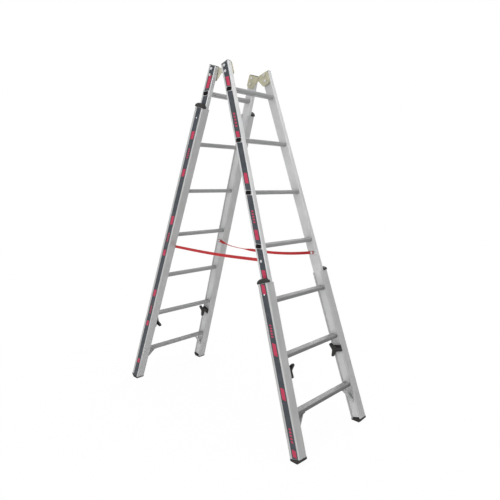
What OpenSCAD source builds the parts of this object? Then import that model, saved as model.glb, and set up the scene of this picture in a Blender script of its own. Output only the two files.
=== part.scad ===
// Trestle ladder: two flared rung legs on a top hinge, each stile with its own clamped leg extension.
// Frame: +X from the left leg to the right leg, +Y along the rungs, +Z up, floor at Z = 0.
// Leg frame: x across the leg towards its climbing side, y along the rungs, z up the leg from the pivot.
// Stile frame: x as in the leg, y inwards from the stile's outer face, z up the stile from the first rung.

/* [Stance] */
// Lean of each leg from the vertical, in degrees
leg_lean = 18.25; // [10:0.25:22]
// Distance between rungs along the leg
rung_pitch = 281; // [250:1:300]
// Outward run of a stile over one rung pitch
flare_run = 15.25; // [5:0.25:20]
// Half width over the stiles at the first rung
half_w = 184; // [170:1:220]
// Hinge pivot to the first rung along the leg
pivot_to_rung = 133; // [125:1:160]
// Stile top above the hinge pivot along the leg
stile_top = 13; // [8:1:20]
// Hinge pivot to the middle of the stile across the leg
pivot_to_stile = 51.5; // [48:0.5:60]
// Last rung to the lower end of the leg extension along the leg
leg_end = 200; // [160:1:260]

/* [Stile] */
// Depth of the stile profile
stile_d = 53; // [48:1:60]
// Thickness of the stile profile
stile_t = 26; // [22:1:32]
// Wall of the stile profile
stile_wall = 2; // [1.5:0.1:3]
// Outer corner radius of the profiles
profile_r = 2.5; // [1:0.5:4]
// Width of the shallow label groove in the outer faces
groove_w = 42; // [30:1:44]
// Depth of the label groove
groove_deep = 0.5; // [0.2:0.1:1]

/* [Rung] */
// Depth of a rung from back to front
rung_d = 38; // [32:1:40]
// Height of a rung
rung_h = 22; // [20:1:28]
// Wall of the rung tube
rung_wall = 2; // [1.5:0.1:3]
// Corner radius of the rung
rung_r = 7; // [4:0.5:9]
// Number of grip grooves in the tread
grip_count = 6; // [3:1:8]
// Radius of a grip groove
grip_r = 0.9; // [0.5:0.1:1.2]
// Clearance of the rung in its holes
rung_gap = 0.1; // [0.05:0.01:0.3]

/* [Leg extension] */
// Hinge pivot to the top of the left extensions along the leg
left_ext_top = 212; // [180:1:700]
// Strap bolts to the top of the right extensions along the leg
right_ext_top = 112; // [60:1:200]
// Wall of the extension profile
ext_wall = 2.4; // [2:0.1:3]
// Clear space between the stile and the extension's flanges
ext_relief = 2; // [1.5:0.1:3]
// Height of the runner ribs inside the extension
runner_h = 1.5; // [1:0.1:1.5]
// Width of a runner rib
runner_w = 3; // [2:0.5:5]
// Depth of the closed chamber outside the stile
chamber_d = 17.6; // [12:0.2:24]
// Gap between the stile and the inner lips
lip_gap = 0.5; // [0.4:0.1:1]
// Clearance of the slot between the lips to the rung
slot_gap = 1.5; // [1:0.5:2.5]

/* [Feet and plugs] */
// Sole below the back corner of the extension
sole_back = 9; // [6:0.5:12]
// Height of the foot's front face
sole_front = 11; // [8:1:16]
// Start of the foot's rise to its front face, in front of its middle
sole_knee = 9; // [4:1:14]
// Reach of the foot's plug up the chamber
foot_plug_h = 40; // [25:1:60]
// Height of the foot's stop in the guide channel
foot_stop_h = 5; // [4:0.5:10]
// Clearance of plugs in their profiles
plug_gap = 0.3; // [0.2:0.05:0.4]
// Flange thickness of the stile's end plugs
plug_flange = 3; // [2:0.5:5]
// Reach of the stile's end plugs into the stile
plug_reach = 9; // [6:1:10]
// Gap at the stop between the stile's end plug and the foot
stop_gap = 0.3; // [0.3:0.1:0.8]
// Height of the cap's dome on top of an extension
cap_h = 24; // [20:1:34]
// Rim of the cap beyond the extension profile
cap_rim = 2; // [1:0.5:4]
// Reach of the cap's plug down the chamber
cap_reach = 25; // [15:1:40]

/* [Hinge] */
// Thickness of a hinge leaf
leaf_t = 4; // [3:0.5:5]
// Radius of the leaf's eye
eye_r = 12; // [10:0.5:13]
// Lower edge of the leaf below the pivot along the leg
leaf_drop = 59; // [50:1:70]
// Step in from the stile's edges to the leaf's edges
leaf_inset = 1.5; // [1:0.5:4]
// Cut at the leaf's lower corner
leaf_cut = 12; // [8:1:16]
// Radius of the hinge pin
pin_r = 6; // [5:0.5:7]
// Radius of the hinge pin's heads
pin_head_r = 8.5; // [8:0.5:11]
// Thickness of the hinge pin's heads
pin_head_t = 3; // [2:0.5:5]
// Running clearance of pins and studs
run_gap = 0.05; // [0.02:0.01:0.1]
// Side clearance between the two leaves
leaf_gap = 0.4; // [0.3:0.1:0.8]
// Bolts of a leaf below the pivot along the leg
bolt_drops = [3, 35];
// Shank radius of the hinge bolts
bolt_r = 4; // [3:0.5:5]
// Width across the flats of the bolt heads
bolt_flats = 13; // [10:1:15]
// Height of the bolt heads
bolt_head_h = 5; // [4:0.5:6]

/* [Clamp] */
// Sixth rung to the clamp along the leg
clamp_drop = 72; // [60:1:120]
// Half height of the clamp plate
plate_half_h = 18; // [14:1:24]
// Half depth of the clamp plate
plate_half_d = 28; // [24:1:30]
// Thickness of the clamp plate over the lips
plate_t = 5; // [4:0.5:8]
// Gap between the clamp plate and the lips
plate_gap = 0.3; // [0.3:0.1:0.6]
// Radius of the clamp stud
stud_r = 4; // [3:0.5:5]
// Radius of the stud's head inside the stile
stud_head_r = 7; // [6:0.5:9]
// Length of the stud beyond the plate
stud_reach = 28; // [20:1:32]
// Radius of the knob's hub
knob_r = 13; // [11:0.5:15]
// Length of the knob
knob_len = 31; // [30:0.5:38]
// Radius of the knob over its three arms
knob_span = 43; // [34:1:46]
// Half width of an arm at its tip
arm_half = 6.5; // [5:0.5:9]
// Thickness of the arms
wing_t = 13; // [10:1:16]
// Rise of the hub above the arms
knob_crown = 2; // [1:0.5:4]
// Turns of the knobs as they stand: left front, left rear, right front, right rear
knob_turns = [64, 27, 42, 117];

/* [Strap] */
// Fourth rung to the strap bolts along the leg
strap_drop = 76; // [40:1:120]
// Width of the strap webbing
strap_w = 14; // [10:1:20]
// Thickness of the strap webbing
strap_t = 1.6; // [1.2:0.1:2]
// Sag of the front strap
front_sag = 6; // [0:1:30]
// Sag of the rear strap
rear_sag = 33; // [0:1:50]
// Strap beyond its bolts
strap_tail = 11; // [9:1:20]
// Height of the spacer that holds the strap clear of the lips
spacer_h = 5; // [4.5:0.1:8]
// Radius of the strap spacer
spacer_r = 7; // [5:0.5:9]
// Shank radius of the strap bolts
strap_bolt_r = 3; // [2.5:0.5:4]
// Head thickness of the strap bolts
strap_head_t = 3; // [2:0.5:4]

/* [Corner bracket] */
// Reach of the bracket along the last rung
bracket_y = 76; // [60:1:90]
// Reach of the bracket down the stile
bracket_z = 90; // [70:1:110]
// Width of the bracket strip
bracket_w = 26; // [20:1:36]
// Thickness of the bracket strip
bracket_t = 3; // [2:0.5:4]
// Length of the tabs at the ends of the bracket
bracket_tab = 18; // [14:1:22]
// Inner radius of the bracket's bends
bracket_r = 18; // [10:1:24]

/* [Hidden] */
$fn = 48;
arc_steps = 5;
touch = 0.02;
far = 400;
rung_count = 7;
aluminium = "#c4c7ca";
black = "#1d1d1f";
zinc = "#b4b08c";
steel = "#a9abad";
red = "#cf1f26";
LEFT = -1;
RIGHT = 1;
FRONT = -1;
REAR = 1;
flare = atan(flare_run / rung_pitch);
lean_slope = tan(leg_lean);
// Outer size of the extension profile
ext_d = stile_d + 2 * (ext_relief + ext_wall);
ext_out = chamber_d + 2 * ext_wall + ext_relief;
lip_in = stile_t + lip_gap;
ext_in = lip_in + ext_wall;
// Width of the level rung across the leg, and the slot that it passes
rung_span = (rung_d - 2 * rung_r) * cos(leg_lean) + (rung_h - 2 * rung_r) * sin(leg_lean) + 2 * rung_r;
slot_w = rung_span + 2 * slot_gap;
// Extra depth of the sole before it is cut level
sole_trim = (ext_out + ext_in) * tan(flare);
// Levels below the pivot along the leg
leg_low = rung_drop(rung_count) + leg_end;
clamp_low = rung_drop(6) + clamp_drop;
strap_low = rung_drop(4) + strap_drop;
right_top_low = strap_low + right_ext_top;
// Heights along the stile
ext_end = along(leg_low);
stile_end = ext_end + foot_stop_h + stop_gap + plug_flange;
stile_len = along(-stile_top) - stile_end;
// Sole level under the middle of the extension
sole_mid = sole_back + ext_d / 2 * lean_slope;
pivot_z = (leg_low + sole_mid) * cos(leg_lean) - pivot_to_stile * sin(leg_lean);
// Hinge planes, as distances from the middle plane
leaf_a_out = inner_face(stile_top) - 0.6;
leaf_a_in = leaf_a_out - leaf_t;
leaf_b_out = leaf_a_in - leaf_gap;
leaf_b_in = leaf_b_out - leaf_t;
stile_back = pivot_to_stile - stile_d / 2;
stile_front = pivot_to_stile + stile_d / 2;
// Clamp faces in the stile frame
plate_in = ext_in + plate_gap;
plate_out = plate_in + plate_t;
knob_in = plate_out + plate_gap;
// Strap ends in the leg frame and in the part's frame
strap_y = inner_face(-strap_low) - spacer_h - strap_t / 2;
strap_x = pivot_to_stile * cos(leg_lean) + strap_low * sin(leg_lean);
strap_z = pivot_z + pivot_to_stile * sin(leg_lean) - strap_low * cos(leg_lean);
strap_rings = 24;

// Distance along a stile of a level that lies this far below the pivot along the leg
function along(drop) = (pivot_to_rung - drop) / cos(flare);
// Distance of a stile's outer and inner face from the middle plane at a height in the leg frame
function outer_face(z) = half_w - (z + pivot_to_rung) * tan(flare);
function inner_face(z) = outer_face(z) - stile_t / cos(flare);
// Level of a rung below the pivot along the leg
function rung_drop(i) = pivot_to_rung + rung_pitch * (i - 1);

// Outline with rounded corners: one radius for each point
function unit(v) = v / norm(v);
function corner(p, a, b, r) =
    let (
        u = unit(p - a),
        v = unit(b - a),
        half = acos(u * v) / 2,
        c = a + unit(u + v) * r / sin(half),
        s = a + u * r / tan(half) - c,
        e = a + v * r / tan(half) - c,
        a0 = atan2(s.y, s.x),
        sweep = (atan2(e.y, e.x) - a0 + 540) % 360 - 180
    )
    [for (k = [0:arc_steps]) c + r * [cos(a0 + sweep * k / arc_steps), sin(a0 + sweep * k / arc_steps)]];
function rounded(pts, radii) =
    let (n = len(pts))
    [for (i = [0:n - 1]) each radii[i] > 0
        ? corner(pts[(i + n - 1) % n], pts[i], pts[(i + 1) % n], radii[i])
        : [pts[i]]];
function turned(p, a) = [p.x * cos(a) - p.y * sin(a), p.x * sin(a) + p.y * cos(a)];
function box_pts(lo, hi) = [lo, [hi.x, lo.y], hi, [lo.x, hi.y]];

// Places children in a leg's frame; the left leg is the right one mirrored
module leg_frame(side) {
    mirror([side == LEFT ? 1 : 0, 0, 0])
        translate([0, 0, pivot_z])
            rotate([0, -leg_lean, 0])
                children();
}

// Places children in a stile's frame; the rear stile is the front one mirrored
module stile_frame(side, end) {
    leg_frame(side)
        mirror([0, end == REAR ? 1 : 0, 0])
            translate([pivot_to_stile, -half_w, -pivot_to_rung])
                rotate([-flare, 0, 0])
                    children();
}

// Extrudes an x and z outline along y, from one y to another
module along_y(y0, y1) {
    translate([0, y1, 0]) rotate([90, 0, 0]) linear_extrude(y1 - y0) children();
}

// Cylinder along y, from one y to another
module rod_y(r, y0, y1) {
    translate([0, y0, 0]) rotate([-90, 0, 0]) cylinder(r = r, h = y1 - y0);
}

// Six-sided head along y
module hex_y(flats, y0, y1) {
    translate([0, y0, 0]) rotate([-90, 0, 0]) cylinder(r = flats / sqrt(3), h = y1 - y0, $fn = 6);
}

// Hollow stile profile with a label groove in its outer face
module stile_section() {
    half = stile_d / 2;
    difference() {
        polygon(rounded(box_pts([-half, 0], [half, stile_t]), [for (k = [1:4]) profile_r]));
        polygon(box_pts([stile_wall - half, stile_wall + groove_deep],
                        [half - stile_wall, stile_t - stile_wall]));
        polygon(box_pts([-groove_w / 2, -1], [groove_w / 2, groove_deep]));
    }
}

// Outline of a rung that is level in use, grown or shrunk by a margin
module rung_outline(grow) {
    size = [rung_d / 2 + grow, rung_h / 2 + grow];
    rotate(-leg_lean) polygon(rounded(box_pts(-size, size), [for (k = [1:4]) rung_r + grow]));
}

// Grip grooves in the tread
module grip_grooves() {
    flat = rung_d - 2 * rung_r;
    rotate(-leg_lean) for (k = [0:grip_count - 1])
        translate([flat * (k / (grip_count - 1) - 0.5), rung_h / 2]) circle(grip_r);
}

// One stile with its rung holes, bolt holes and stud hole
module stile(side, end) {
    color(aluminium) difference() {
        stile_frame(side, end) difference() {
            translate([0, 0, stile_end]) linear_extrude(stile_len) stile_section();
            translate([0, 0, along(clamp_low)]) rod_y(stud_r + run_gap, stile_t / 2, stile_t + 1);
        }
        leg_frame(side) {
            for (i = [1:rung_count])
                translate([pivot_to_stile, 0, -rung_drop(i)]) along_y(-far, far) rung_outline(rung_gap);
            for (drop = bolt_drops) translate([pivot_to_stile, 0, -drop]) rod_y(bolt_r + run_gap, -far, far);
            reach = side == RIGHT ? far : outer_face(-strap_low) - stile_t / 2;
            translate([pivot_to_stile, 0, -strap_low]) rod_y(strap_bolt_r + run_gap, -reach, reach);
        }
    }
}

// One hollow rung, cut flush with the outer faces of both stiles
module rung(side, i) {
    z = -rung_drop(i);
    top = z + rung_d;
    bottom = z - rung_d;
    color(aluminium) leg_frame(side) translate([pivot_to_stile, 0, 0]) intersection() {
        translate([0, 0, z]) along_y(-far, far) difference() {
            rung_outline(0);
            rung_outline(-rung_wall);
            grip_grooves();
        }
        rotate([90, 0, 90]) translate([0, 0, -rung_d]) linear_extrude(2 * rung_d) polygon([
            [-outer_face(bottom), bottom], [outer_face(bottom), bottom],
            [outer_face(top), top], [-outer_face(top), top]
        ]);
    }
}

// Extension profile: closed chamber outside, guide channel with two lips inside
module extension_section() {
    half = ext_d / 2;
    inside = half - ext_wall;
    middle = -ext_relief;
    difference() {
        polygon(rounded(box_pts([-half, -ext_out], [half, ext_in]), [for (k = [1:4]) profile_r]));
        polygon(box_pts([-inside, ext_wall - ext_out], [inside, middle - ext_wall]));
        polygon(box_pts([-inside, middle], [inside, lip_in]));
        polygon(box_pts([-slot_w / 2, lip_in - 1], [slot_w / 2, ext_in + 1]));
        polygon(box_pts([-groove_w / 2, -ext_out - 1], [groove_w / 2, groove_deep - ext_out]));
    }
    for (s = [-1, 1]) {
        for (y = [stile_t / 4, stile_t * 3 / 4])
            translate([s * (inside - runner_h / 2), y])
                square([runner_h + touch, runner_w], center = true);
        translate([s * (groove_w + runner_w) / 2, middle + runner_h / 2])
            square([runner_w, runner_h + touch], center = true);
    }
}

// One leg extension
module extension(side, end) {
    top = along(side == LEFT ? left_ext_top : right_top_low);
    color(aluminium) stile_frame(side, end)
        translate([0, 0, ext_end]) linear_extrude(top - ext_end) extension_section();
}

// Plug that fills the chamber of an extension, between two heights
module chamber_plug(z0, z1) {
    x = ext_d / 2 - ext_wall - plug_gap;
    y0 = ext_wall - ext_out + plug_gap;
    y1 = -ext_relief - ext_wall - plug_gap;
    translate([-x, y0, z0]) cube([2 * x, y1 - y0, z1 - z0]);
}

// Domed cap on the chamber of an extension, with a rim that stands out all round
module cap(side, end) {
    top = along(side == LEFT ? left_ext_top : right_top_low);
    half = ext_d / 2 + cap_rim;
    outside = -ext_out - cap_rim;
    inside = -plug_gap * 2;
    color(black) stile_frame(side, end) translate([0, 0, top]) {
        intersection() {
            along_y(outside, inside) polygon(rounded(
                [[-half, 0], [half, 0], [half, cap_h * 0.45], [half * 0.45, cap_h],
                 [-half * 0.5, cap_h], [-half, cap_h * 0.4]],
                [0, 0, cap_h * 0.25, cap_h * 0.7, cap_h * 0.7, cap_h * 0.25]));
            rotate([90, 0, 90]) translate([0, 0, -half]) linear_extrude(2 * half) polygon(rounded(
                [[outside, 0], [inside, 0], [inside, cap_h], [outside, cap_h]], [0, 0, 2, cap_h * 0.5]));
        }
        chamber_plug(-cap_reach, touch);
    }
}

// Foot with a level sole that rises to the front, a plug in the chamber and a stop in the channel
module foot(side, end) {
    half = ext_d / 2;
    color(black) difference() {
        stile_frame(side, end) translate([0, 0, ext_end]) {
            along_y(-ext_out, ext_in) polygon(rounded(
                [[-half, 0], [half, 0], [half, -sole_front],
                 [sole_knee, -sole_mid - sole_knee * lean_slope - sole_trim / 2],
                 [-half, -sole_back - sole_trim]],
                [0, 0, 4, 14, 1.5]));
            chamber_plug(-touch, foot_plug_h);
            translate([-stile_d / 2, 0, -touch]) cube([stile_d, stile_t, foot_stop_h + touch]);
        }
        translate([-leg_low, -leg_low, -far]) cube([2 * leg_low, 2 * leg_low, far]);
    }
}

// Plug for a stile's end, with its flange at z = 0 and its reach towards +z
module stile_plug() {
    half = stile_d / 2;
    x = half - stile_wall - plug_gap;
    y0 = stile_wall + groove_deep + plug_gap;
    y1 = stile_t - stile_wall - plug_gap;
    translate([0, 0, -plug_flange]) linear_extrude(plug_flange)
        polygon(rounded(box_pts([-half, 0], [half, stile_t]), [for (k = [1:4]) profile_r]));
    translate([-x, y0, -touch]) cube([2 * x, y1 - y0, plug_reach + touch]);
}

// End plugs at the feet of the stiles
module end_plugs(side) {
    color(black) for (end = [FRONT, REAR])
        stile_frame(side, end) translate([0, 0, stile_end]) stile_plug();
}

// Plugs at the tops of the stiles
module top_plugs(side) {
    color(black) for (end = [FRONT, REAR])
        stile_frame(side, end) translate([0, 0, stile_end + stile_len]) mirror([0, 0, 1]) stile_plug();
}

// Outline of a hinge leaf: a fan from its eye to the stile
module leaf_outline() {
    top = stile_top - 1;
    back = stile_back + leaf_inset;
    edge = stile_front - leaf_inset;
    polygon(rounded(
        [[0, eye_r], [back, top], [edge, top], [edge, leaf_cut - leaf_drop],
         [edge - leaf_cut, -leaf_drop], [back, -leaf_drop], [0, -eye_r]],
        [0, 0, 2.5, 4, 4, 5, 0]));
    circle(eye_r);
}

// Outline of the pad that seats a leaf on its stile
module pad_outline() {
    margin = 3 * leaf_inset;
    polygon(rounded(
        box_pts([stile_back + margin, margin - leaf_drop], [stile_front - margin, stile_top - margin]),
        [for (k = [1:4]) leaf_cut]));
}

// One hinge leaf; the right ones step inwards past the left ones
module leaf(side, end) {
    y_in = side == LEFT ? leaf_a_in : leaf_b_in;
    color(zinc) difference() {
        leg_frame(side) mirror([0, end == REAR ? 1 : 0, 0]) difference() {
            union() {
                along_y(-y_in - leaf_t, -y_in) leaf_outline();
                along_y(-half_w, -y_in - leaf_t / 2) pad_outline();
            }
            rod_y(pin_r + run_gap, -far, 0);
            for (drop = bolt_drops) translate([pivot_to_stile, 0, -drop]) rod_y(bolt_r + run_gap, -far, 0);
        }
        stile_frame(side, end) translate([-far, -far, -far]) cube([2 * far, far + stile_t + touch, 2 * far]);
    }
}

// One hinge pin with its two heads
module hinge_pin(end) {
    out = leaf_a_out + touch;
    inside = leaf_b_in - leaf_gap;
    color(zinc) leg_frame(LEFT) mirror([0, end == REAR ? 1 : 0, 0]) {
        rod_y(pin_r, -out - pin_head_t / 2, -inside + pin_head_t / 2);
        rod_y(pin_head_r, -out - pin_head_t, -out);
        rod_y(pin_head_r, -inside, -inside + pin_head_t);
    }
}

// Bolts that hold the hinge leaves, with heads on the stiles' outer faces and nuts on the leaves
module hinge_bolts(side) {
    y_in = (side == LEFT ? leaf_a_in : leaf_b_in) - touch;
    color(steel) for (end = [FRONT, REAR]) for (drop = bolt_drops) {
        head_y = outer_face(-drop) + bolt_head_h;
        leg_frame(side) mirror([0, end == REAR ? 1 : 0, 0])
            translate([pivot_to_stile, 0, -drop]) {
                rod_y(bolt_r, -head_y + 1, -y_in + bolt_head_h);
                hex_y(bolt_flats, -y_in, -y_in + bolt_head_h);
            }
        difference() {
            leg_frame(side) mirror([0, end == REAR ? 1 : 0, 0])
                translate([pivot_to_stile, 0, -drop]) hex_y(bolt_flats, -head_y, -head_y + 2 * bolt_head_h);
            stile_frame(side, end) translate([-far, -touch, -far]) cube(2 * far);
        }
    }
}

// Clamp plate that bridges the lips of an extension
module clamp_plate(side, end) {
    color(black) stile_frame(side, end) translate([0, 0, along(clamp_low)]) difference() {
        union() {
            along_y(plate_in, plate_out) polygon(rounded(
                box_pts([-plate_half_d, -plate_half_h], [plate_half_d, plate_half_h]), [for (k = [1:4]) 4]));
            translate([0, 0, -plate_half_h])
                linear_extrude(2 * plate_half_h)
                    polygon(box_pts([-slot_w / 2 + slot_gap, stile_t + plate_gap / 3],
                                    [slot_w / 2 - slot_gap, plate_in + plate_t / 2]));
        }
        rod_y(stud_r + run_gap, 0, far);
    }
}

// Clamp studs, with their heads inside the stiles
module clamp_studs(side) {
    head = stile_t - stile_wall - touch;
    color(steel) for (end = [FRONT, REAR])
        stile_frame(side, end) translate([0, 0, along(clamp_low)]) {
            rod_y(stud_r, head - 1, plate_out + stud_reach);
            rod_y(stud_head_r, head - 4, head);
        }
}

// Outline of the knob's three arms
module arms_outline() {
    arm = [[knob_span, -arm_half], [knob_span, arm_half], turned([knob_r, 0], 60)];
    polygon(rounded(
        [for (a = [0, 120, 240]) for (p = arm) turned(p, a)],
        [for (k = [0:2]) each [arm_half * 0.9, arm_half * 0.9, knob_r]]));
}

// Three-armed knob that tightens the clamp
module wing_knob(side, end) {
    turn = knob_turns[(side == RIGHT ? 2 : 0) + (end == REAR ? 1 : 0)];
    arms_out = knob_len - knob_crown;
    arms_in = arms_out - wing_t;
    color(black) stile_frame(side, end) translate([0, knob_in, along(clamp_low)]) difference() {
        union() {
            rotate([-90, 0, 0]) rotate_extrude() polygon(rounded(
                [[0, 0], [knob_r * 0.85, 0], [knob_r, arms_in], [knob_r, knob_len], [0, knob_len]],
                [0, 1, 0, 3, 0]));
            along_y(arms_in, arms_out) rotate(turn) arms_outline();
        }
        rod_y(stud_r + run_gap, -1, stud_reach + 1);
    }
}

// Strap bolts with their spacers: heads outside the right stiles, nuts inside the left ones
module strap_bolts(side) {
    outside = strap_y + strap_t / 2 + touch;
    inside = strap_y - strap_t / 2 - touch;
    wall = inner_face(-strap_low) + stile_wall;
    end_y = side == RIGHT ? outer_face(-strap_low) : wall;
    color(steel) for (end = [FRONT, REAR]) {
        leg_frame(side) mirror([0, end == REAR ? 1 : 0, 0]) translate([pivot_to_stile, 0, -strap_low]) {
            rod_y(strap_bolt_r, -end_y - strap_head_t / 2, -inside + strap_head_t / 2);
            rod_y(spacer_r, -inside, -inside + strap_head_t);
        }
        difference() {
            leg_frame(side) mirror([0, end == REAR ? 1 : 0, 0]) translate([pivot_to_stile, 0, -strap_low])
                rod_y(spacer_r, -wall, -outside);
            stile_frame(side, end) translate([-far, stile_t + touch - far, along(strap_low) - far])
                cube([2 * far, far, 2 * far]);
        }
        difference() {
            leg_frame(side) mirror([0, end == REAR ? 1 : 0, 0]) translate([pivot_to_stile, 0, -strap_low])
                rod_y(spacer_r, -end_y - strap_head_t, -end_y + strap_head_t);
            cut_y = (side == RIGHT ? 0 : stile_t - stile_wall) - touch;
            stile_frame(side, end) translate([-far, cut_y, along(strap_low) - far]) cube(2 * far);
        }
    }
}

// Middle of a strap at a share of its span, sagging as a parabola
function strap_mid(u, y, sag) = [strap_x * (2 * u - 1), y, strap_z - 4 * sag * max(u * (1 - u), 0)];
// Turn of the rear strap about its length: it lies flat over the second quarter of its span
function twist(u) = u <= 0.025 || u >= 0.5 ? 0 : u < 0.1 ? 90 * smooth((u - 0.025) / 0.075)
    : u < 0.36 ? 90 : 90 * (1 - smooth((u - 0.36) / 0.14));
function smooth(s) = s * s * (3 - 2 * s);

// Flat webbing from bolt to bolt
module strap(end) {
    sag = end == FRONT ? front_sag : rear_sag;
    tail = strap_tail / (2 * strap_x);
    us = [for (k = [0:strap_rings]) -tail + (1 + 2 * tail) * k / strap_rings];
    rings = [for (u = us)
        let (
            turn = end == FRONT ? 0 : twist(u),
            across = [0, sin(turn), cos(turn)],
            thick = [0, cos(turn), -sin(turn)],
            mid = strap_mid(u, end * strap_y, sag)
        )
        [for (k = [[-1, -1], [1, -1], [1, 1], [-1, 1]])
            mid + across * strap_w / 2 * k.x + thick * strap_t / 2 * k.y]];
    last = 4 * strap_rings;
    color(red) difference() {
        polyhedron(
            points = [for (ring = rings) each ring],
            faces = [
                [0, 1, 2], [0, 2, 3], [last + 2, last + 1, last], [last + 3, last + 2, last],
                for (k = [0:strap_rings - 1]) for (j = [0:3]) each
                    let (a = 4 * k + j, b = 4 * k + (j + 1) % 4) [[a, a + 4, b], [b, a + 4, b + 4]]
            ]);
        for (side = [LEFT, RIGHT]) leg_frame(side)
            translate([pivot_to_stile, 0, -strap_low]) rod_y(strap_bolt_r + run_gap, -far, far);
    }
}

// Side view of a bracket: a strip with two bends, from the rung to the stile
module bracket_outline() {
    y = bracket_y - bracket_tab;
    z = bracket_z - bracket_tab;
    slope = atan(z / y);
    y_in = y + bracket_t * tan(slope / 2);
    z_in = z + bracket_t * tan(45 - slope / 2);
    outer_r = bracket_r + bracket_t;
    polygon(rounded(
        [[bracket_y, 0], [y, 0], [0, -z], [0, -bracket_z],
         [bracket_t, -bracket_z], [bracket_t, -z_in], [y_in, -bracket_t], [bracket_y, -bracket_t]],
        [0, outer_r, outer_r, 0, 0, bracket_r, bracket_r, 0]));
}

// Bent strips in the corners under the last rung, leaning with the rung's underside and the stile's face
module corner_brackets(side) {
    z = -rung_drop(rung_count) - rung_h / 2 / cos(leg_lean) - touch;
    lean = [
        [1, 0, 0, 0],
        [-lean_slope * tan(flare), 1, tan(flare), 0],
        [-lean_slope, 0, 1, 0],
        [0, 0, 0, 1]
    ];
    color(aluminium) for (end = [FRONT, REAR])
        leg_frame(side) mirror([0, end == REAR ? 1 : 0, 0])
            translate([pivot_to_stile, touch - inner_face(z), z]) multmatrix(lean)
                rotate([90, 0, 90]) translate([0, 0, -bracket_w / 2])
                    linear_extrude(bracket_w) bracket_outline();
}

stile(LEFT, FRONT);  // left_front_stile
stile(LEFT, REAR);  // left_rear_stile
stile(RIGHT, FRONT);  // right_front_stile
stile(RIGHT, REAR);  // right_rear_stile
rung(LEFT, 1);  // left_rung_1
rung(LEFT, 2);  // left_rung_2
rung(LEFT, 3);  // left_rung_3
rung(LEFT, 4);  // left_rung_4
rung(LEFT, 5);  // left_rung_5
rung(LEFT, 6);  // left_rung_6
rung(LEFT, 7);  // left_rung_7
rung(RIGHT, 1);  // right_rung_1
rung(RIGHT, 2);  // right_rung_2
rung(RIGHT, 3);  // right_rung_3
rung(RIGHT, 4);  // right_rung_4
rung(RIGHT, 5);  // right_rung_5
rung(RIGHT, 6);  // right_rung_6
rung(RIGHT, 7);  // right_rung_7
extension(LEFT, FRONT);  // left_front_extension
extension(LEFT, REAR);  // left_rear_extension
extension(RIGHT, FRONT);  // right_front_extension
extension(RIGHT, REAR);  // right_rear_extension
foot(LEFT, FRONT);  // left_front_foot
foot(LEFT, REAR);  // left_rear_foot
foot(RIGHT, FRONT);  // right_front_foot
foot(RIGHT, REAR);  // right_rear_foot
cap(LEFT, FRONT);  // left_front_cap
cap(LEFT, REAR);  // left_rear_cap
cap(RIGHT, FRONT);  // right_front_cap
cap(RIGHT, REAR);  // right_rear_cap
wing_knob(LEFT, FRONT);  // left_front_wing_knob
wing_knob(LEFT, REAR);  // left_rear_wing_knob
wing_knob(RIGHT, FRONT);  // right_front_wing_knob
wing_knob(RIGHT, REAR);  // right_rear_wing_knob
clamp_plate(LEFT, FRONT);  // left_front_clamp_plate
clamp_plate(LEFT, REAR);  // left_rear_clamp_plate
clamp_plate(RIGHT, FRONT);  // right_front_clamp_plate
clamp_plate(RIGHT, REAR);  // right_rear_clamp_plate
clamp_studs(LEFT);  // left_clamp_studs
clamp_studs(RIGHT);  // right_clamp_studs
leaf(LEFT, FRONT);  // left_front_leaf
leaf(LEFT, REAR);  // left_rear_leaf
leaf(RIGHT, FRONT);  // right_front_leaf
leaf(RIGHT, REAR);  // right_rear_leaf
hinge_pin(FRONT);  // front_hinge_pin
hinge_pin(REAR);  // rear_hinge_pin
hinge_bolts(LEFT);  // left_hinge_bolts
hinge_bolts(RIGHT);  // right_hinge_bolts
strap_bolts(LEFT);  // left_strap_bolts
strap_bolts(RIGHT);  // right_strap_bolts
strap(FRONT);  // front_strap
strap(REAR);  // rear_strap
corner_brackets(LEFT);  // left_corner_brackets
corner_brackets(RIGHT);  // right_corner_brackets
end_plugs(LEFT);  // left_end_plugs
end_plugs(RIGHT);  // right_end_plugs
top_plugs(LEFT);  // left_top_plugs
top_plugs(RIGHT);  // right_top_plugs
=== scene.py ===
import math

import bmesh
import bpy
from mathutils import Matrix, Vector


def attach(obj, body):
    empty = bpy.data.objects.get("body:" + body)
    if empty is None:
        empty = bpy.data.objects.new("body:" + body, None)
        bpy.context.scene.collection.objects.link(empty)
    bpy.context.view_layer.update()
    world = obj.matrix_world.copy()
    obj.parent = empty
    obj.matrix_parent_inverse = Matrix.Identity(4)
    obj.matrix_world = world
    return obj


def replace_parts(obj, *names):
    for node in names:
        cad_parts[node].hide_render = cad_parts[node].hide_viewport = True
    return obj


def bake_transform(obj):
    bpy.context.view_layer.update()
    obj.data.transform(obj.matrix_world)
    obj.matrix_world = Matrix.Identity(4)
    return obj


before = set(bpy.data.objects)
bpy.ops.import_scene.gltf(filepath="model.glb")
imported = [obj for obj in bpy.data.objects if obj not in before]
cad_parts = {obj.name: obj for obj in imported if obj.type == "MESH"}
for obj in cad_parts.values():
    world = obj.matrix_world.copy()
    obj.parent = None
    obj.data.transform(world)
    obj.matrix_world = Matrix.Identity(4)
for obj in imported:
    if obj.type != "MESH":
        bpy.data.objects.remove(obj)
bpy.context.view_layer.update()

MM = 0.001
# Directions of the legs along x and of their stiles along y
SIDES = {"left": -1, "right": 1}
ENDS = {"front": -1, "rear": 1}
MIRROR_X = Matrix.Scale(-1, 4, (1, 0, 0))
MIRROR_Y = Matrix.Scale(-1, 4, (0, 1, 0))

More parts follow.
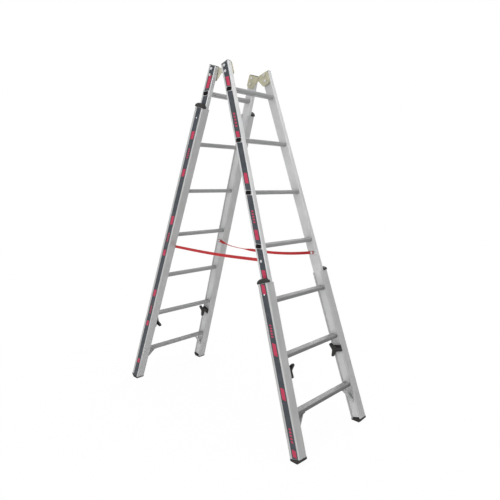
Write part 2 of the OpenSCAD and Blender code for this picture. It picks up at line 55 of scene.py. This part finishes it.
# Sizes of the part's source, in millimetres. A drop is measured from the hinge down along the leg.
LEAN = math.radians(18.25)
PITCH = 281.0
FLARE_RUN = 15.25
FLARE = math.atan2(FLARE_RUN, PITCH)
HALF_W = 184.0
PIVOT_TO_RUNG = 133.0
PIVOT_TO_STILE = 51.5
STILE_TOP = 13.0
STILE_T = 26.0
LEG_END = 2019.0
EXT_TOP = {"left": 212.0, "right": 1164.0}
EXT_OUT = 24.4
EXT_D = 61.8
GROOVE_W = 42.0
GROOVE_DEEP = 0.5
RUNG_COUNT = 7
RUNG_D = 38.0
RUNG_H = 22.0
RUNG_R = 7.0
RUNG_DROPS = [PIVOT_TO_RUNG + PITCH * i for i in range(RUNG_COUNT)]
BRACKET_Y = 76.0
BRACKET_Z = 90.0
BRACKET_TAB = 18.0
BRACKET_T = 3.0
STRAP_DROP = 1052.0
STRAP_W = 14.0
STRAP_T = 1.6
STRAP_TAIL = 11.0
SPACER_H = 5.0
SOLE_BACK = 9.0
SOLE_MID = SOLE_BACK + EXT_D / 2 * math.tan(LEAN)
PIVOT_Z = (LEG_END + SOLE_MID) * math.cos(LEAN) - PIVOT_TO_STILE * math.sin(LEAN)


def leg_matrix(side):
    """Frame of a leg: its origin at the hinge, its z along the leaning leg."""
    m = Matrix.Translation((0, 0, PIVOT_Z)) @ Matrix.Rotation(-LEAN, 4, "Y")
    return MIRROR_X @ m if side == "left" else m


def stile_matrix(side, end):
    """Frame of a stile: its outer face at y = 0, its first rung at z = 0, its inside towards +y."""
    place = Matrix.Translation((PIVOT_TO_STILE, -HALF_W, -PIVOT_TO_RUNG))
    m = place @ Matrix.Rotation(-FLARE, 4, "X")
    return leg_matrix(side) @ (MIRROR_Y @ m if end == "rear" else m)


def along(drop):
    """Height of a drop in a stile's frame."""
    return (PIVOT_TO_RUNG - drop) / math.cos(FLARE)


def inner_face(z):
    """Distance of a stile's inner face from the middle of its leg, at a height in the leg's frame."""
    outer = HALF_W - (z + PIVOT_TO_RUNG) * math.tan(FLARE)
    return outer - STILE_T / math.cos(FLARE)


# Materials

WHITE = (1, 1, 1)
# The range that most values of a noise fall in
NOISE_LOW, NOISE_HIGH = 0.3, 0.7
# Colour sockets of a Mix node
MIX_SHARE, MIX_A, MIX_B, MIX_RESULT = 0, 6, 7, 2
# Tone of the die lines in aluminium
LINE_DARK, LINE_LIGHT = 0.90, 1.07
# How far a surface has to face outward for the painted shade to start and to be full
SHADE_START, SHADE_FULL = 0.25, 0.8


def material(name):
    m = bpy.data.materials.new(name)
    m.use_nodes = True
    nt = m.node_tree
    return m, nt, nt.nodes["Principled BSDF"]


def node(nt, kind, **settings):
    n = nt.nodes.new(kind)
    for key, value in settings.items():
        setattr(n, key, value)
    return n


def coords(nt, scale=(1, 1, 1), rotation=(0, 0, 0)):
    """Object coordinates, turned and then scaled."""
    vector = node(nt, "ShaderNodeTexCoord").outputs["Object"]
    for socket, value in (("Rotation", rotation), ("Scale", scale)):
        mapping = node(nt, "ShaderNodeMapping")
        mapping.inputs[socket].default_value = value
        nt.links.new(vector, mapping.inputs["Vector"])
        vector = mapping.outputs["Vector"]
    return vector


def noise(nt, vector, scale, detail, rough):
    n = node(nt, "ShaderNodeTexNoise")
    n.inputs["Scale"].default_value = scale
    n.inputs["Detail"].default_value = detail
    n.inputs["Roughness"].default_value = rough
    nt.links.new(vector, n.inputs["Vector"])
    return n.outputs["Fac"]


def ramp(nt, value, start, stop):
    """A colour between two (position, colour) pairs."""
    r = node(nt, "ShaderNodeValToRGB")
    for element, (position, colour) in zip(r.color_ramp.elements, (start, stop)):
        element.position = position
        element.color = (*colour, 1)
    nt.links.new(value, r.inputs["Fac"])
    return r.outputs["Color"]


def span(nt, value, low, high, from_low=NOISE_LOW, from_high=NOISE_HIGH):
    r = node(nt, "ShaderNodeMapRange")
    r.inputs["From Min"].default_value = from_low
    r.inputs["From Max"].default_value = from_high
    r.inputs["To Min"].default_value = low
    r.inputs["To Max"].default_value = high
    nt.links.new(value, r.inputs["Value"])
    return r.outputs["Result"]


def bump(nt, height, strength, distance):
    b = node(nt, "ShaderNodeBump")
    b.inputs["Strength"].default_value = strength
    b.inputs["Distance"].default_value = distance
    nt.links.new(height, b.inputs["Height"])
    return b.outputs["Normal"]


def mix(nt, a, b, share, mode="MIX"):
    m = node(nt, "ShaderNodeMix", data_type="RGBA", blend_type=mode)
    m.inputs[MIX_SHARE].default_value = share
    nt.links.new(a, m.inputs[MIX_A])
    nt.links.new(b, m.inputs[MIX_B])
    return m.outputs[MIX_RESULT]


def aluminium(name, rotation, scale, tone, metallic, outward=0, side_shade=0.0):
    """Extruded mill-finish aluminium: die lines along the profile, a cloudy patina and a few scuffs.

    Painted shade darkens the side that faces outward along x.
    """
    m, nt, p = material(name)
    lines = noise(nt, coords(nt, scale, rotation), scale=1.0, detail=5.0, rough=0.65)
    cloud = noise(nt, coords(nt), scale=9.0, detail=3.0, rough=0.5)
    scuff = noise(nt, coords(nt), scale=70.0, detail=8.0, rough=0.75)
    dark, light = (tuple(c * k for c in tone) for k in (LINE_DARK, LINE_LIGHT))
    base = ramp(nt, lines, (NOISE_LOW, dark), (NOISE_HIGH, light))
    clouds = ramp(nt, cloud, (NOISE_LOW, (0.90, 0.905, 0.91)), (NOISE_HIGH, WHITE))
    colour = mix(nt, base, clouds, 1.0, "MULTIPLY")
    marks = ramp(nt, scuff, (0.66, WHITE), (0.74, (0.86, 0.86, 0.86)))
    colour = mix(nt, colour, marks, 0.6, "MULTIPLY")
    # Painted shade: surfaces facing outward along x are darkened in colour
    if side_shade:
        facing = node(nt, "ShaderNodeSeparateXYZ")
        nt.links.new(node(nt, "ShaderNodeTexCoord").outputs["Normal"], facing.inputs[0])
        painted_shade = span(nt, facing.outputs["X"], 1.0, 1.0 - side_shade,
                      SHADE_START * outward, SHADE_FULL * outward)
        colour = mix(nt, colour, painted_shade, 1.0, "MULTIPLY")
    nt.links.new(colour, p.inputs["Base Color"])
    nt.links.new(span(nt, cloud, 0.36, 0.5), p.inputs["Roughness"])
    nt.links.new(bump(nt, lines, 0.12, 0.0004), p.inputs["Normal"])
    p.inputs["Metallic"].default_value = metallic
    p.inputs["Specular IOR Level"].default_value = 0.3
    p.inputs["Specular Tint"].default_value = (0.5, 0.5, 0.5, 1)
    return m


def plastic(name, colour, rough, gloss=0.3):
    """Moulded black plastic with a fine spark grain and slight dusty variation."""
    m, nt, p = material(name)
    grain = noise(nt, coords(nt), scale=900.0, detail=2.0, rough=0.5)
    dust = noise(nt, coords(nt), scale=45.0, detail=5.0, rough=0.6)
    dusty = tuple(c * 1.9 + 0.006 for c in colour)
    nt.links.new(ramp(nt, dust, (0.35, colour), (0.75, dusty)), p.inputs["Base Color"])
    nt.links.new(span(nt, dust, rough - 0.06, rough + 0.1), p.inputs["Roughness"])
    nt.links.new(bump(nt, grain, 0.25, 0.0003), p.inputs["Normal"])
    p.inputs["Specular IOR Level"].default_value = gloss
    return m


def plated(name, dark, light, rough):
    """Zinc-plated steel with the mottled tint of passivation."""
    m, nt, p = material(name)
    tint = noise(nt, coords(nt), scale=38.0, detail=4.0, rough=0.6)
    fine = noise(nt, coords(nt), scale=420.0, detail=3.0, rough=0.6)
    nt.links.new(ramp(nt, tint, (NOISE_LOW, dark), (NOISE_HIGH, light)), p.inputs["Base Color"])
    nt.links.new(span(nt, fine, rough - 0.07, rough + 0.09), p.inputs["Roughness"])
    nt.links.new(bump(nt, fine, 0.1, 0.0002), p.inputs["Normal"])
    p.inputs["Metallic"].default_value = 0.5
    return m


def film(name, dark, light):
    """Adhesive film with a faint mottle."""
    m, nt, p = material(name)
    mottle = noise(nt, coords(nt), scale=30.0, detail=4.0, rough=0.6)
    peel = noise(nt, coords(nt), scale=700.0, detail=2.0, rough=0.5)
    nt.links.new(ramp(nt, mottle, (0.32, dark), (NOISE_HIGH, light)), p.inputs["Base Color"])
    nt.links.new(span(nt, peel, 0.4, 0.52), p.inputs["Roughness"])
    nt.links.new(bump(nt, peel, 0.12, 0.0002), p.inputs["Normal"])
    p.inputs["Specular IOR Level"].default_value = 0.3
    return m


def threads(nt, uv, direction, scale):
    """Bands across one direction of the UV map."""
    mapping = node(nt, "ShaderNodeMapping")
    mapping.inputs["Scale"].default_value = scale
    wave = node(nt, "ShaderNodeTexWave", wave_type="BANDS", bands_direction=direction)
    wave.inputs["Scale"].default_value = 1.0
    nt.links.new(uv, mapping.inputs["Vector"])
    nt.links.new(mapping.outputs["Vector"], wave.inputs["Vector"])
    return wave.outputs["Color"]


def webbing(name):
    """Red woven polyester: weft ribs across the strap and warp rows along it, laid out by its UV map."""
    m, nt, p = material(name)
    uv = node(nt, "ShaderNodeTexCoord").outputs["UV"]
    weave = mix(nt, threads(nt, uv, "X", (170, 0, 0)), threads(nt, uv, "Y", (0, 220, 0)), 0.45)
    fade = noise(nt, coords(nt), scale=24.0, detail=4.0, rough=0.6)
    dye = ramp(nt, fade, (NOISE_LOW, (0.45, 0.004, 0.007)), (NOISE_HIGH, (0.55, 0.009, 0.013)))
    # Painted shade: the colour darkens in the hollows of the weave
    weave_shade = ramp(nt, weave, (0.1, (0.72, 0.72, 0.72)), (0.7, WHITE))
    nt.links.new(mix(nt, dye, weave_shade, 1.0, "MULTIPLY"), p.inputs["Base Color"])
    nt.links.new(bump(nt, weave, 0.5, 0.0005), p.inputs["Normal"])
    p.inputs["Roughness"].default_value = 0.78
    p.inputs["Sheen Weight"].default_value = 0.25
    return m


# Frequency of the die lines: high across a profile, low along it. Cast pieces have an even grain.
STILE_LINES = (520, 520, 5)
RUNG_LINES = (480, 6, 480)
CAST_GRAIN = (90, 90, 90)
UPRIGHT = (0, 0, 0)
RUNG_TONE, RUNG_METAL = (0.36, 0.36, 0.36), 0.15
# Painted shade on the outward sides of the lowest rungs, darkest on the lowest
RUNG_SIDE_SHADE = {5: 0.2, 6: 0.34, 7: 0.48}

stile_alu, extension_alu, shaded_rung_alu = {}, {}, {}
for side, outward in SIDES.items():
    leaning = (0, outward * LEAN, 0)
    stile_alu[side] = aluminium(
        f"stile_aluminium_{side}", leaning, STILE_LINES, (0.64, 0.64, 0.64), 0.35)
    extension_alu[side] = aluminium(
        f"extension_aluminium_{side}", leaning, STILE_LINES, (0.53, 0.53, 0.525), 0.3)
    # Painted shade: shaded copies of the rung aluminium for the lowest rungs
    for i, side_shade in RUNG_SIDE_SHADE.items():
        shaded_rung_alu[side, i] = aluminium(
            f"rung_aluminium_{side}_{i}", UPRIGHT, RUNG_LINES, RUNG_TONE, RUNG_METAL, outward, side_shade)
rung_alu = aluminium("rung_aluminium", UPRIGHT, RUNG_LINES, RUNG_TONE, RUNG_METAL)
cast_alu = aluminium("bracket_aluminium", UPRIGHT, CAST_GRAIN, (0.50, 0.50, 0.50), 0.3)
black = plastic("black_plastic", (0.016, 0.015, 0.014), 0.55)
# Painted shade: a dull near-black for the discs that stand for the shaded inside of the rung ends
hole_shade_black = plastic("rung_hole_shade_black", (0.005, 0.0045, 0.0045), 0.8, 0.1)
rubber = plastic("foot_plastic", (0.017, 0.016, 0.015), 0.65)
yellow = plated("yellow_zinc", (0.45, 0.43, 0.31), (0.54, 0.515, 0.385), 0.46)
# Painted light: a paler copy of the yellow zinc for the front hinge leaves and pin
lit_yellow = plated("lit_yellow_zinc", (0.56, 0.535, 0.43), (0.65, 0.62, 0.51), 0.46)
zinc = plated("bright_zinc", (0.56, 0.56, 0.565), (0.72, 0.72, 0.725), 0.34)
dark_film = film("dark_film", (0.034, 0.043, 0.052), (0.066, 0.070, 0.082))
red_film = film("red_film", (0.45, 0.03, 0.076), (0.54, 0.046, 0.102))
red_web = webbing("red_webbing")


def look(name):
    """Material of a CAD node, by its name."""
    side = name.split("_")[0]
    if name.endswith("stile"):
        return stile_alu[side]
    if name.endswith("extension"):
        return extension_alu[side]
    if "_rung_" in name:
        return shaded_rung_alu.get((side, int(name[-1])), rung_alu)
    if "bracket" in name:
        return cast_alu
    if name.endswith(("leaf", "hinge_pin")):
        # Painted light: the front hinge parts get the paler copy of the zinc
        return lit_yellow if "front" in name else yellow
    if name.endswith("foot"):
        return rubber
    if name.endswith(("cap", "plugs", "knob", "plate")):
        return black
    if name.endswith("strap"):
        return red_web
    return zinc


for name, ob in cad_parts.items():
    ob.data.materials.clear()
    ob.data.materials.append(look(name))


# Mesh helpers, in millimetres until a vertex is made

ARC_STEPS = 4
DOME_SEGMENTS, DOME_ROWS = 20, 5


def add(name, bm, mat, body=None, smooth=False):
    bmesh.ops.recalc_face_normals(bm, faces=bm.faces)
    for f in bm.faces:
        f.smooth = smooth
    me = bpy.data.meshes.new(name)
    bm.to_mesh(me)
    bm.free()
    me.materials.append(mat)
    ob = bpy.data.objects.new(name, me)
    bpy.context.scene.collection.objects.link(ob)
    if body:
        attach(ob, body)
    return ob


def vertex(bm, matrix, x, y, z):
    return bm.verts.new(matrix @ Vector((x, y, z)) * MM)


def bridge(bm, rings):
    """Faces between each ring of vertices and the next."""
    n = len(rings[0])
    for a, b in zip(rings, rings[1:]):
        for i in range(n):
            bm.faces.new((a[i], a[(i + 1) % n], b[(i + 1) % n], b[i]))


def corner(cx, cz, r, quarter):
    """Points of a rounded corner, along one quarter of a circle."""
    angles = [math.radians(90 * (quarter + k / ARC_STEPS)) for k in range(ARC_STEPS + 1)]
    return [(cx + r * math.cos(a), cz + r * math.sin(a)) for a in angles]


def plate(bm, matrix, outline, y0, y1, edge):
    """A plate with an x and z outline from y0 to y1, its y0 side eased by a small edge."""
    cx = sum(x for x, _ in outline) / len(outline)
    cz = sum(z for _, z in outline) / len(outline)
    half_x = max(abs(x - cx) for x, _ in outline)
    half_z = max(abs(z - cz) for _, z in outline)
    rings = []
    for y, inset in ((y1, 0), (y0 + edge, 0), (y0, edge)):
        kx, kz = 1 - inset / half_x, 1 - inset / half_z
        rings.append([vertex(bm, matrix, cx + (x - cx) * kx, y, cz + (z - cz) * kz)
                      for x, z in outline])
    bridge(bm, rings)
    bm.faces.new(rings[0])
    bm.faces.new(rings[-1])


def dome(bm, matrix, centre, r, h):
    """A low round head on a face square to y. Its height counts along y."""
    cx, cy, cz = centre
    turns = [2 * math.pi * i / DOME_SEGMENTS for i in range(DOME_SEGMENTS)]
    rings = []
    for k in range(DOME_ROWS):
        a = math.pi / 2 * k / DOME_ROWS
        row_r, y = r * math.cos(a), cy + h * math.sin(a)
        rings.append([vertex(bm, matrix, cx + row_r * math.cos(t), y, cz + row_r * math.sin(t))
                      for t in turns])
    tip = vertex(bm, matrix, cx, cy + h, cz)
    bridge(bm, rings)
    last = rings[-1]
    for a, b in zip(last, last[1:] + last[:1]):
        bm.faces.new((a, b, tip))
    bm.faces.new(rings[0])


# Film strips on the front stiles and extensions: a dark band with plain red bars and rows of ticks.
# Heights count outward from the underside of the film, which clears the groove by a small gap.

FILM_GAP = 0.02
FILM_T = 0.28
FILM_EDGE = 0.1
FILM_R = 0.8
FILM_SHORT = 1.0
# Width of the groove that stays bare, in all and on the right of the film
GROOVE_BARE, GROOVE_BARE_RIGHT = 6.0, 0.6
FILM_W = GROOVE_W - GROOVE_BARE
FILM_OFF = GROOVE_W / 2 - FILM_W / 2 - GROOVE_BARE_RIGHT
BAR_UNDER, BAR_OUTER = 0.26, 0.36
BAR_EDGE = 0.03
BAR_W, BAR_R = FILM_W * 0.62, 2.5
TICK_W, TICK_R = FILM_W * 0.36, 1.2
TICKS = 5
TICK_START, TICK_END = 0.22, 0.78
# The film leaves a gap for each rung end and its rim
RIM_ROOM = 1.8
RUNG_CLEAR = (RUNG_H / 2 + RIM_ROOM) / math.cos(LEAN)
# A rung less than this above the top of the extension is under its cap
CAP_COVER = 20.0
# Drops of the bars and of the rows of ticks
BARS = {
    ("right", "stile"): (
        [(66, 116), (366, 398), (590, 646), (890, 942), (1098, 1146)],
        [(262, 346), (786, 858)]),
    ("right", "extension"): (
        [(1169, 1217), (1462, 1524), (1680, 1738), (1975, 2010)],
        [(1366, 1436), (1868, 1945)]),
    ("left", "stile"): ([(40, 106)], []),
    ("left", "extension"): (
        [(344, 388), (562, 606), (852, 906), (1074, 1114), (1354, 1402), (1584, 1620), (1884, 1916)],
        [(440, 500), (960, 1020), (1470, 1530)]),
}


def film_runs(side, part):
    """Lengths of film on one profile: upper drop, upper end level, lower drop, lower end level."""
    top = EXT_TOP[side]
    if part == "extension":
        return [(top + FILM_SHORT, False, LEG_END - FILM_SHORT, False)]
    edges = [(FILM_SHORT - STILE_TOP, False)]
    for drop in RUNG_DROPS:
        if drop + CAP_COVER < top:
            edges += [(drop - RUNG_CLEAR, True), (drop + RUNG_CLEAR, True)]
    edges.append((top - FILM_SHORT, False))
    return [(*upper, *lower) for upper, lower in zip(edges[::2], edges[1::2])]


def slanted_box(shift, width, t0, level0, t1, level1, r):
    """Rounded outline between two drops. A level end is level when the ladder stands."""
    corners = ((1, t0, level0, -r), (-1, t0, level0, -r), (-1, t1, level1, r), (1, t1, level1, r))
    pts = []
    for quarter, (sx, t, level, inset) in enumerate(corners):
        slope = math.tan(LEAN) if level else 0
        cx = shift + sx * (width / 2 - r)
        pts += [(x, z - x * slope) for x, z in corner(cx, along(t) + inset, r, quarter)]
    return pts


for (side, part), (bars, rows) in BARS.items():
    matrix = stile_matrix(side, "front")
    # To the right on both legs, though the left leg's frame is mirrored
    shift = SIDES[side] * FILM_OFF
    face = 0 if part == "stile" else -EXT_OUT
    under = face + GROOVE_DEEP - FILM_GAP
    body = f"{side}_leg" if part == "stile" else f"{side}_front_extension"
    bm = bmesh.new()
    for run in film_runs(side, part):
        outline = slanted_box(shift, FILM_W, *run, FILM_R)
        plate(bm, matrix, outline, under - FILM_T, under, FILM_EDGE)
    add(f"{side}_front_{part}_film", bm, dark_film, body)
    marks = [(t0, t1, BAR_W, BAR_R) for t0, t1 in bars]
    for t0, t1 in rows:
        step = (t1 - t0) / TICKS
        marks += [(t0 + step * (k + TICK_START), t0 + step * (k + TICK_END), TICK_W, TICK_R)
                  for k in range(TICKS)]
    bm = bmesh.new()
    for t0, t1, width, r in marks:
        outline = slanted_box(shift, width, t0, True, t1, True, r)
        plate(bm, matrix, outline, under - BAR_OUTER, under - BAR_UNDER, BAR_EDGE)
    add(f"{side}_front_{part}_bars", bm, red_film, body)


# Rolled rims round the rung ends, and thin near-black discs in them as painted shade for the open tube
# ends

# Growth of the rung's outline, and y in the stile's frame
RIM_SECTION = ((-0.9, 0.02), (-0.7, -0.45), (-0.1, -0.6), (0.7, -0.45), (1.3, 0.1), (1.5, 0.52))
HOLE_SHADE_GROW = -0.8
HOLE_SHADE_OUTER, HOLE_SHADE_UNDER, HOLE_SHADE_EDGE = -0.3, 0.1, 0.2


def rung_outline(grow, drop):
    """Outline of a rung end, level in use, so turned by the lean in the stile's frame."""
    turned = Matrix.Rotation(-LEAN, 2)
    x, z = RUNG_D / 2 - RUNG_R, RUNG_H / 2 - RUNG_R
    pts = []
    for quarter, (cx, cz) in enumerate(((x, z), (-x, z), (-x, -z), (x, -z))):
        pts += [turned @ Vector(p) for p in corner(cx, cz, RUNG_R + grow, quarter)]
    return [(p.x, p.y + along(drop)) for p in pts]


for side in SIDES:
    for end in ENDS:
        matrix = stile_matrix(side, end)
        bm = bmesh.new()
        for drop in RUNG_DROPS:
            rings = [[vertex(bm, matrix, x, y, z) for x, z in rung_outline(grow, drop)]
                     for grow, y in RIM_SECTION]
            bridge(bm, rings + rings[:1])
        add(f"{side}_{end}_rung_rims", bm, rung_alu, f"{side}_leg", True)
        bm = bmesh.new()
        # Painted shade: a thin dark disc in each rung end
        for drop in RUNG_DROPS:
            outline = rung_outline(HOLE_SHADE_GROW, drop)
            plate(bm, matrix, outline, HOLE_SHADE_OUTER, HOLE_SHADE_UNDER, HOLE_SHADE_EDGE)
        add(f"{side}_{end}_rung_hole_shades", bm, hole_shade_black, f"{side}_leg")


# Blind rivets that hold the caps in the extensions

RIVET_SUNK = 0.1
CAP_RIVET_DROP, CAP_RIVET_R, CAP_RIVET_H = 57.0, 4.2, 1.8
for side in SIDES:
    for end in ENDS:
        matrix = stile_matrix(side, end)
        centre = (0, GROOVE_DEEP - EXT_OUT - RIVET_SUNK, along(EXT_TOP[side] + CAP_RIVET_DROP))
        bm = bmesh.new()
        dome(bm, matrix, centre, CAP_RIVET_R, -CAP_RIVET_H)
        add(f"{side}_{end}_cap_rivet", bm, zinc, f"{side}_{end}_extension", True)


# Rivets that hold the brackets to the stiles and to the last rungs

BRACKET_RIVET_R, BRACKET_RIVET_H = 4.0, 2.0
bracket_z = -RUNG_DROPS[-1] - RUNG_H / 2 / math.cos(LEAN)
slope, flare = math.tan(LEAN), math.tan(FLARE)
shear = Matrix(((1, 0, 0, 0), (-slope * flare, 1, flare, 0), (-slope, 0, 1, 0), (0, 0, 0, 1)))
on_stile = (0, BRACKET_T - RIVET_SUNK, BRACKET_TAB / 2 - BRACKET_Z)
under_rung = (Matrix.Translation((0, BRACKET_Y - BRACKET_TAB / 2, RIVET_SUNK - BRACKET_T))
              @ Matrix.Rotation(-math.pi / 2, 4, "X"))
to_bracket = Matrix.Translation((PIVOT_TO_STILE, -inner_face(bracket_z), bracket_z)) @ shear
for side in SIDES:
    bm = bmesh.new()
    for end in ENDS:
        matrix = leg_matrix(side) @ (MIRROR_Y @ to_bracket if end == "rear" else to_bracket)
        dome(bm, matrix, on_stile, BRACKET_RIVET_R, BRACKET_RIVET_H)
        dome(bm, matrix @ under_rung, (0, 0, 0), BRACKET_RIVET_R, BRACKET_RIVET_H)
    add(f"{side}_bracket_rivets", bm, zinc, f"{side}_leg", True)


# Straps of woven webbing, bolted to both legs. A place on a strap is its share of the span, from
# the left bolt to the right one.

STRAP_RINGS = 160
# Width of the webbing beyond each edge of the strap's solid
WEB_PROUD = 1.5
SELVEDGE = STRAP_T * 0.42
WEB_DIP = 0.94
BOW_START, BOW_FULL = 0.0125, 0.2
TWIST_START, TWIST_FULL, TWIST_BACK, TWIST_END = 0.025, 0.1, 0.3, 0.46
QUARTER_TURN = math.pi / 2

strap_y = inner_face(-STRAP_DROP) - SPACER_H - STRAP_T / 2
strap_x = PIVOT_TO_STILE * math.cos(LEAN) + STRAP_DROP * math.sin(LEAN)
strap_z = PIVOT_Z + PIVOT_TO_STILE * math.sin(LEAN) - STRAP_DROP * math.cos(LEAN)


def ease(value, start, stop):
    """A smooth step from 0 at start to 1 at stop."""
    s = min(max((value - start) / (stop - start), 0), 1)
    return s * s * (3 - 2 * s)


def twist(u):
    """Turn of the rear strap: upright at its bolts, lying flat over part of its left half."""
    return QUARTER_TURN * (ease(u, TWIST_START, TWIST_FULL) - ease(u, TWIST_BACK, TWIST_END))


def inboard(u):
    """Share of the strap's bow away from the stiles, so that it clears them when the legs fold."""
    return ease(min(u, 1 - u), BOW_START, BOW_FULL)


def web_section():
    """Outline of the webbing: a flat band with rounded selvedges and a slight dip on each half."""
    w, t = STRAP_W / 2 + WEB_PROUD, STRAP_T / 2
    right_half = [(w / 2, t * WEB_DIP), (w - SELVEDGE * 1.6, t), (w - SELVEDGE * 0.4, t * 0.75)]
    left_half = [(-s, h) for s, h in reversed(right_half)]
    upper = left_half + [(0, t)] + right_half
    return [(-w, 0)] + upper + [(w, 0)] + [(s, -h) for s, h in reversed(upper)]


def strap(end, sag, hang, bow, turning):
    """One strap from bolt to bolt. A hang above 2 makes its left half drop more steeply."""
    facing = ENDS[end]
    tail = STRAP_TAIL / (2 * strap_x)
    section = web_section()
    bm = bmesh.new()
    uv = bm.loops.layers.uv.new("UVMap")
    rings, where = [], {}
    for k in range(STRAP_RINGS + 1):
        u = -tail + (1 + 2 * tail) * k / STRAP_RINGS
        a = twist(u) if turning else 0
        power = hang if u < 0.5 else 2
        middle = Vector((strap_x * (2 * u - 1), facing * (strap_y - bow * inboard(u)),
                         strap_z - sag * max(1 - abs(2 * u - 1) ** power, 0)))
        across = Vector((0, math.sin(a), math.cos(a)))
        thick = Vector((0, math.cos(a), -math.sin(a)))
        ring = []
        for s, t in section:
            v = bm.verts.new((middle + across * s + thick * t) * MM)
            where[v] = (2 * strap_x * u * MM, s * MM)
            ring.append(v)
        rings.append(ring)
    bridge(bm, rings)
    bm.faces.new(rings[0])
    bm.faces.new(rings[-1])
    for f in bm.faces:
        for loop in f.loops:
            loop[uv].uv = where[loop.vert]
    ob = add(f"{end}_webbing", bm, red_web, None, True)
    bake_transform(ob)
    return ob


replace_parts(strap("front", sag=10, hang=2, bow=5, turning=False), "front_strap")
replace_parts(strap("rear", sag=32, hang=3.5, bow=11, turning=True), "rear_strap")


# Stage, light and camera

FLOOR_HALF = 30
FLOOR_DROP = 0.0005
FLOOR_WHITE = (0.92, 0.92, 0.92, 1)
# The floor's glow rises from this share to full white, between two distances from the middle in metres
GLOW_LEAST, GLOW_NEAR, GLOW_FAR = 0.965, 0.6, 1.8
# Strength of the diffuse light from the horizon and from overhead
SKY_LOW, SKY_HIGH = 0.10, 0.40
SKY_COLOUR = (0.98, 0.99, 1.0, 1)


def seen_ray(nt):
    """1 for a ray from the camera, a glossy surface or a clear one, which should meet white."""
    path = node(nt, "ShaderNodeLightPath")
    value = path.outputs["Is Camera Ray"]
    for kind in ("Is Glossy Ray", "Is Transmission Ray"):
        either = node(nt, "ShaderNodeMath", operation="MAXIMUM")
        nt.links.new(value, either.inputs[0])
        nt.links.new(path.outputs[kind], either.inputs[1])
        value = either.outputs[0]
    return value


def white_light(nt, kind):
    n = node(nt, kind)
    n.inputs["Color"].default_value = (*WHITE, 1)
    n.inputs["Strength"].default_value = 1.0
    return n.outputs[0]


def blend_shaders(nt, share, first, second, surface):
    m = node(nt, "ShaderNodeMixShader")
    for socket, source in zip(m.inputs, (share, first, second)):
        nt.links.new(source, socket)
    nt.links.new(m.outputs[0], surface)


bm = bmesh.new()
bmesh.ops.create_grid(bm, x_segments=2, y_segments=2, size=FLOOR_HALF)
floor_mat, nt, principled = material("floor_white")
principled.inputs["Base Color"].default_value = FLOOR_WHITE
principled.inputs["Roughness"].default_value = 0.9
away = node(nt, "ShaderNodeVectorMath", operation="LENGTH")
nt.links.new(node(nt, "ShaderNodeTexCoord").outputs["Object"], away.inputs[0])
glow = span(nt, away.outputs["Value"], GLOW_LEAST, 1.0, GLOW_NEAR, GLOW_FAR)
share = node(nt, "ShaderNodeMath", operation="MULTIPLY")
nt.links.new(seen_ray(nt), share.inputs[0])
nt.links.new(glow, share.inputs[1])
blend_shaders(nt, share.outputs[0], principled.outputs[0], white_light(nt, "ShaderNodeEmission"),
              nt.nodes["Material Output"].inputs["Surface"])
floor = add("floor", bm, floor_mat)
floor.location.z = -FLOOR_DROP

world = bpy.data.worlds.new("studio")
bpy.context.scene.world = world
world.use_nodes = True
nt = world.node_tree
nt.nodes.clear()
heading = node(nt, "ShaderNodeSeparateXYZ")
nt.links.new(node(nt, "ShaderNodeTexCoord").outputs["Generated"], heading.inputs[0])
sky = node(nt, "ShaderNodeBackground")
sky.inputs["Color"].default_value = SKY_COLOUR
nt.links.new(span(nt, heading.outputs["Z"], SKY_LOW, SKY_HIGH, 0.0, 1.0), sky.inputs["Strength"])
blend_shaders(nt, seen_ray(nt), sky.outputs[0], white_light(nt, "ShaderNodeBackground"),
              node(nt, "ShaderNodeOutputWorld").inputs["Surface"])


def lamp(name, place, target, size, power):
    data = bpy.data.lights.new(name, "AREA")
    data.shape = "DISK"
    data.size = size
    data.energy = power
    ob = bpy.data.objects.new(name, data)
    bpy.context.scene.collection.objects.link(ob)
    ob.location = place
    ob.rotation_euler = (Vector(target) - Vector(place)).to_track_quat("-Z", "Y").to_euler()


lamp("key", (0.4, -4.8, 1.9), (0, 0, 0.9), size=2.4, power=117)
lamp("right", (1.35, 0.2, 2.8), (0.2, 0, 1.4), size=1.9, power=12)
lamp("top", (0.4, 0.2, 5.2), (0, 0, 0.8), size=3.0, power=100)
lamp("back", (-1.4, 4.6, 2.4), (0, 0, 0.9), size=2.4, power=80)

# Camera fitted to the photograph: angles, then focal length and centre in pixels of a square image
YAW, TILT, ROLL = math.radians(45.892), math.radians(-9.879), math.radians(0.246)
FOCAL, CENTRE_X, CENTRE_Y, IMAGE = 454.612, 220.515, 263.42, 500.0
CAMERA_X, CAMERA_Y, CAMERA_BELOW_PIVOT = 1854.507, -1950.032, 602.544
SENSOR = 36
ahead = Vector((-math.sin(YAW) * math.cos(TILT), math.cos(YAW) * math.cos(TILT), math.sin(TILT)))
level = Vector((math.cos(YAW), math.sin(YAW), 0))
square = level.cross(ahead)
right = level * math.cos(ROLL) + square * math.sin(ROLL)
up = square * math.cos(ROLL) - level * math.sin(ROLL)
place = Vector((CAMERA_X, CAMERA_Y, PIVOT_Z - CAMERA_BELOW_PIVOT)) * MM
camera_data = bpy.data.cameras.new("camera")
camera_data.sensor_width = SENSOR
camera_data.lens = FOCAL / IMAGE * SENSOR
camera_data.shift_x = (IMAGE / 2 - CENTRE_X) / IMAGE
camera_data.shift_y = (CENTRE_Y - IMAGE / 2) / IMAGE
camera = bpy.data.objects.new("camera", camera_data)
bpy.context.scene.collection.objects.link(camera)
camera.matrix_world = Matrix((
    (right.x, up.x, -ahead.x, place.x),
    (right.y, up.y, -ahead.y, place.y),
    (right.z, up.z, -ahead.z, place.z),
    (0, 0, 0, 1)))
bpy.context.scene.camera = camera
bpy.context.scene.view_settings.view_transform = "Standard"
